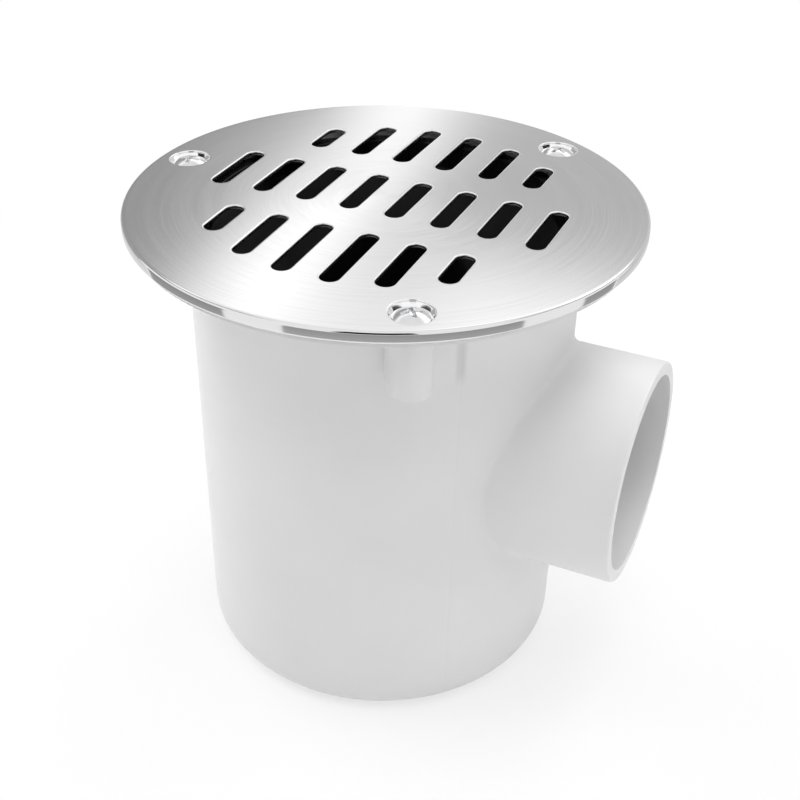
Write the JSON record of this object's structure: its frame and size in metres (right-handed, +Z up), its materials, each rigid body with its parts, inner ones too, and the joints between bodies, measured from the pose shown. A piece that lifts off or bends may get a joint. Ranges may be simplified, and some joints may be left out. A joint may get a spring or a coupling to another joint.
{
  "type": "drum trap",
  "caption": "Floor drain drum trap: moulded drum with a side outlet socket, a lift-out dip tube for the water seal and a screwed-down slotted metal cover.",
  "frame": {"origin": "centre of the drum's flat base, on the drum's axis", "axes": "+Z up along the drum's axis, +X out of the side outlet, cover slots along Y"},
  "size_m": [0.1345, 0.127, 0.1272],
  "materials": {
    "white_pvc": "off-white injection-moulded plastic with a soft sheen",
    "brushed_cover": "circular-brushed satin stainless sheet",
    "bright_screws": "bright plated",
    "dark_plastic": "black moulded plastic",
    "seal_rubber": "black rubber"
  },
  "bodies": {
    "root": {"drum_body": "white_pvc", "grate_cover": "brushed_cover", "cover_screws": "bright_screws", "trap_insert": "dark_plastic", "insert_seal": "seal_rubber"}
  },
  "joints": []
}
